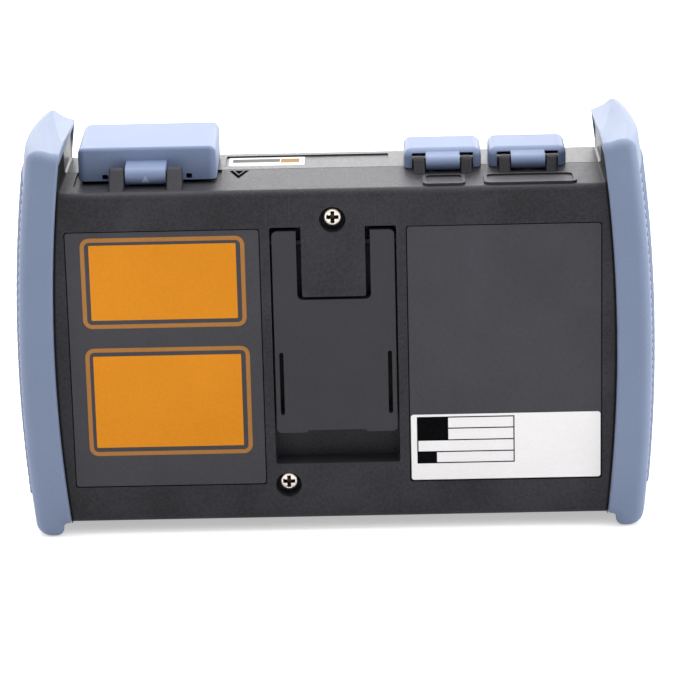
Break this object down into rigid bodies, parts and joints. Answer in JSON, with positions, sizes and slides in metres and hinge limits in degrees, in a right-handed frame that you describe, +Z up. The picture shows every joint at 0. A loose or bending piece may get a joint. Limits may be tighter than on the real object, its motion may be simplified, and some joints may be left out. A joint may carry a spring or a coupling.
{
  "type": "optical time domain reflectometer",
  "caption": "Handheld fibre tester with touch screen and keys, hinged covers over its optical and USB ports, a rear flip-out stand and rubber ends that form its feet.",
  "frame": {"origin": "middle of the overall box at the underside of the feet", "axes": "+Z up, the screen faces -Y, the stand and rear labels face +Y, the optical port is towards +X"},
  "size_m": [0.1832, 0.056, 0.1139],
  "materials": {
    "case_plastic": "fine moulded grain",
    "bezel_plastic": "fine moulded grain",
    "bumper_rubber": "satin elastomer",
    "cover_plastic": "satin elastomer skin",
    "stand_plastic": "fine moulded grain",
    "steel": "bright zinc",
    "black_steel": "black oxide",
    "film": "printed film",
    "plate_film": "printed film",
    "glass": "polished",
    "display": "laminated panel",
    "circuit_board": "solder mask",
    "key_plastic": "satin",
    "module_metal": "plain milled",
    "nickel": "nickel plate",
    "fibre_jacket": "satin",
    "cell_wrap": "shrink film"
  },
  "bodies": {
    "case": {"rear_case": "case_plastic", "front_case": "case_plastic", "front_bezel": "bezel_plastic", "bumper_left": "bumper_rubber", "bumper_right": "bumper_rubber", "port_cover_pin": "steel", "usb_pin_a": "steel", "usb_pin_b": "steel", "stand_axle": "steel", "label_left": "film", "label_right": "film", "plate_label": "plate_film", "top_label": "plate_film", "case_screws": "black_steel", "corner_screws": "black_steel", "board_screws": "steel", "screen_glass": "glass", "lcd_module": "display", "key_board": "circuit_board", "main_board": "circuit_board", "usb_socket_a": "nickel", "usb_socket_b": "nickel", "optical_adapter": "nickel", "optical_module": "module_metal", "fibre_pigtail": "fibre_jacket", "battery_pack": "cell_wrap"},
    "port_cover": {"port_cover": "cover_plastic"},
    "usb_cover_a": {"usb_cover_a": "cover_plastic"},
    "usb_cover_b": {"usb_cover_b": "cover_plastic"},
    "stand": {"stand": "stand_plastic"},
    "key_power": {"key_power": "key_plastic"},
    "key_menu": {"key_menu": "key_plastic"},
    "key_escape": {"key_escape": "key_plastic"},
    "key_up": {"key_up": "key_plastic"},
    "key_down": {"key_down": "key_plastic"},
    "key_left": {"key_left": "key_plastic"},
    "key_right": {"key_right": "key_plastic"},
    "key_enter": {"key_enter": "key_plastic"},
    "key_realtime": {"key_realtime": "key_plastic"},
    "key_average": {"key_average": "key_plastic"}
  },
  "joints": [
    {"name": "port_cover_hinge", "type": "hinge", "parent": "case", "child": "port_cover", "pos_m": [0.05235, 0.0162, 0.1039], "axis": [-1, 0, 0], "range_deg": [0, 120]},
    {"name": "usb_cover_a_hinge", "type": "hinge", "parent": "case", "child": "usb_cover_a", "pos_m": [-0.0315, 0.0063, 0.1034], "axis": [-1, 0, 0], "range_deg": [0, 110]},
    {"name": "usb_cover_b_hinge", "type": "hinge", "parent": "case", "child": "usb_cover_b", "pos_m": [-0.0557, 0.0063, 0.1034], "axis": [-1, 0, 0], "range_deg": [0, 110]},
    {"name": "stand_hinge", "type": "hinge", "parent": "case", "child": "stand", "pos_m": [0, 0.0224, 0.0853], "axis": [1, 0, 0], "range_deg": [0, 70]},
    {"name": "key_power_press", "type": "slide", "parent": "case", "child": "key_power", "axis": [0, 1, 0], "range_m": [0, 0.0006], "stiffness_N_per_m": 1500},
    {"name": "key_menu_press", "type": "slide", "parent": "case", "child": "key_menu", "axis": [0, 1, 0], "range_m": [0, 0.0006], "stiffness_N_per_m": 1500},
    {"name": "key_escape_press", "type": "slide", "parent": "case", "child": "key_escape", "axis": [0, 1, 0], "range_m": [0, 0.0006], "stiffness_N_per_m": 1500},
    {"name": "key_up_press", "type": "slide", "parent": "case", "child": "key_up", "axis": [0, 1, 0], "range_m": [0, 0.0006], "stiffness_N_per_m": 1500},
    {"name": "key_down_press", "type": "slide", "parent": "case", "child": "key_down", "axis": [0, 1, 0], "range_m": [0, 0.0006], "stiffness_N_per_m": 1500},
    {"name": "key_left_press", "type": "slide", "parent": "case", "child": "key_left", "axis": [0, 1, 0], "range_m": [0, 0.0006], "stiffness_N_per_m": 1500},
    {"name": "key_right_press", "type": "slide", "parent": "case", "child": "key_right", "axis": [0, 1, 0], "range_m": [0, 0.0006], "stiffness_N_per_m": 1500},
    {"name": "key_enter_press", "type": "slide", "parent": "case", "child": "key_enter", "axis": [0, 1, 0], "range_m": [0, 0.0006], "stiffness_N_per_m": 1500},
    {"name": "key_realtime_press", "type": "slide", "parent": "case", "child": "key_realtime", "axis": [0, 1, 0], "range_m": [0, 0.0006], "stiffness_N_per_m": 1500},
    {"name": "key_average_press", "type": "slide", "parent": "case", "child": "key_average", "axis": [0, 1, 0], "range_m": [0, 0.0006], "stiffness_N_per_m": 1500}
  ]
}
